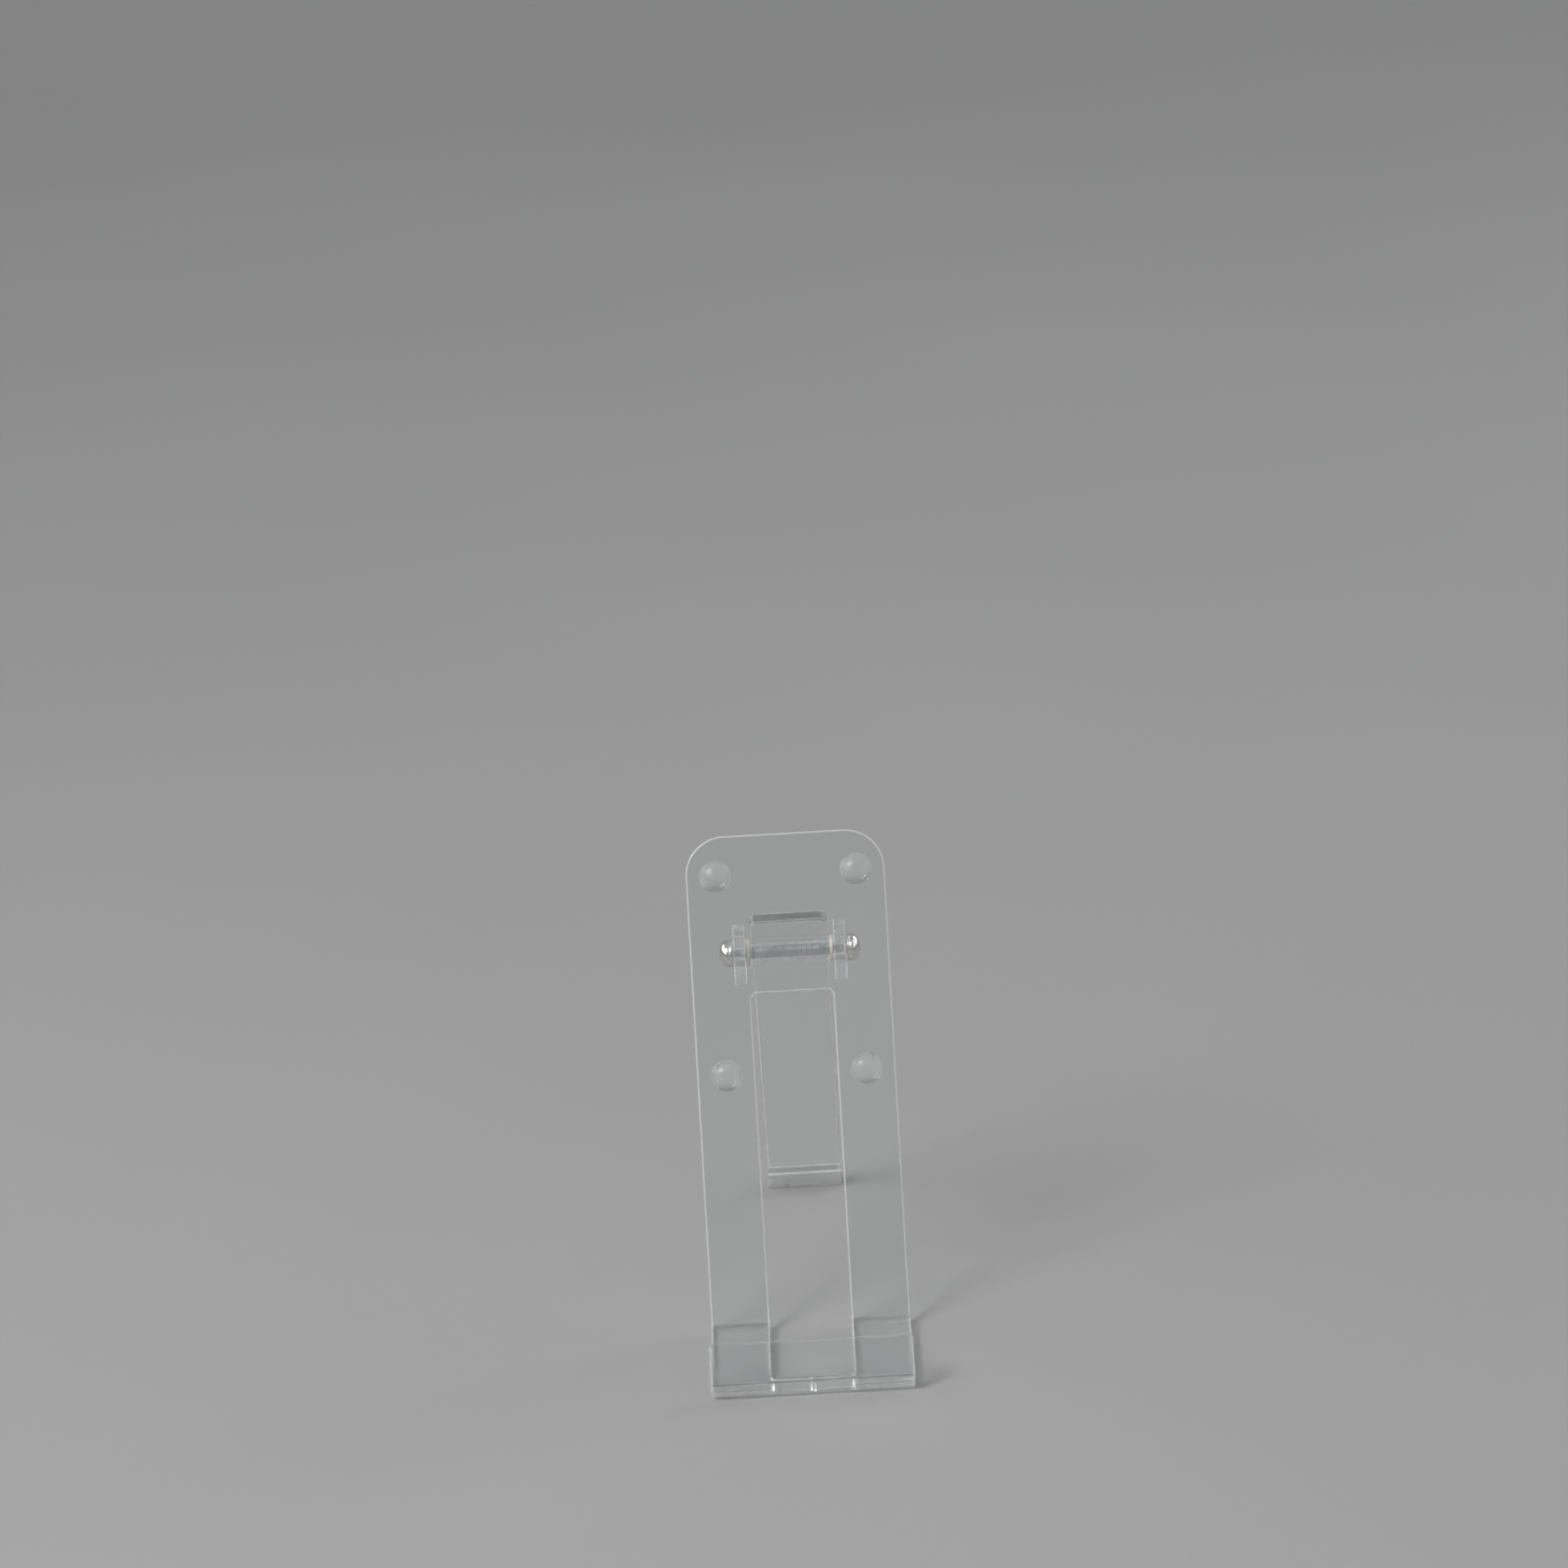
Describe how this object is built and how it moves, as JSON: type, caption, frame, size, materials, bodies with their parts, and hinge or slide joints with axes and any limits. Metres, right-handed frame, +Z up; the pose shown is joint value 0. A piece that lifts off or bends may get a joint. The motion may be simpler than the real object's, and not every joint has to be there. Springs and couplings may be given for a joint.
{
  "type": "plate display stand",
  "caption": "Clear acrylic easel for a display plate: a bent strip with a low lip, a flat ledge and a leaning back rest with a window, and a strut that folds on a pin hinge.",
  "frame": {"origin": "centre of the stand's footprint on the table, with the strut open", "axes": "+X across the stand to the right as seen from the front, +Y from the front lip towards the strut's foot, +Z up"},
  "size_m": [0.05, 0.1386, 0.1209],
  "materials": {
    "clear_acrylic": "clear, colourless cast acrylic sheet with polished faces and edges and a fine satin arris between them",
    "stainless_steel": "ground stainless steel rod",
    "nickel_plate": "bright nickel-plated domed push caps",
    "clear_silicone": "water-clear soft silicone, slightly hazy",
    "natural_nylon": "natural off-white nylon"
  },
  "bodies": {
    "stand": {"stand_body": "clear_acrylic", "hinge_cheek_left": "clear_acrylic", "hinge_cheek_right": "clear_acrylic", "hinge_pin": "stainless_steel", "pin_cap_left": "nickel_plate", "pin_cap_right": "nickel_plate", "plate_bumper_lower_left": "clear_silicone", "plate_bumper_lower_right": "clear_silicone", "plate_bumper_upper_left": "clear_silicone", "plate_bumper_upper_right": "clear_silicone"},
    "strut": {"strut_leg": "clear_acrylic", "strut_barrel": "clear_acrylic", "strut_foot_trim": "clear_silicone", "thrust_washer_left": "natural_nylon", "thrust_washer_right": "natural_nylon"}
  },
  "joints": [
    {"name": "strut_hinge", "type": "hinge", "parent": "stand", "child": "strut", "pos_m": [0, 0.00338, 0.08995], "axis": [1, 0, 0], "range_deg": [-71, 0]}
  ]
}
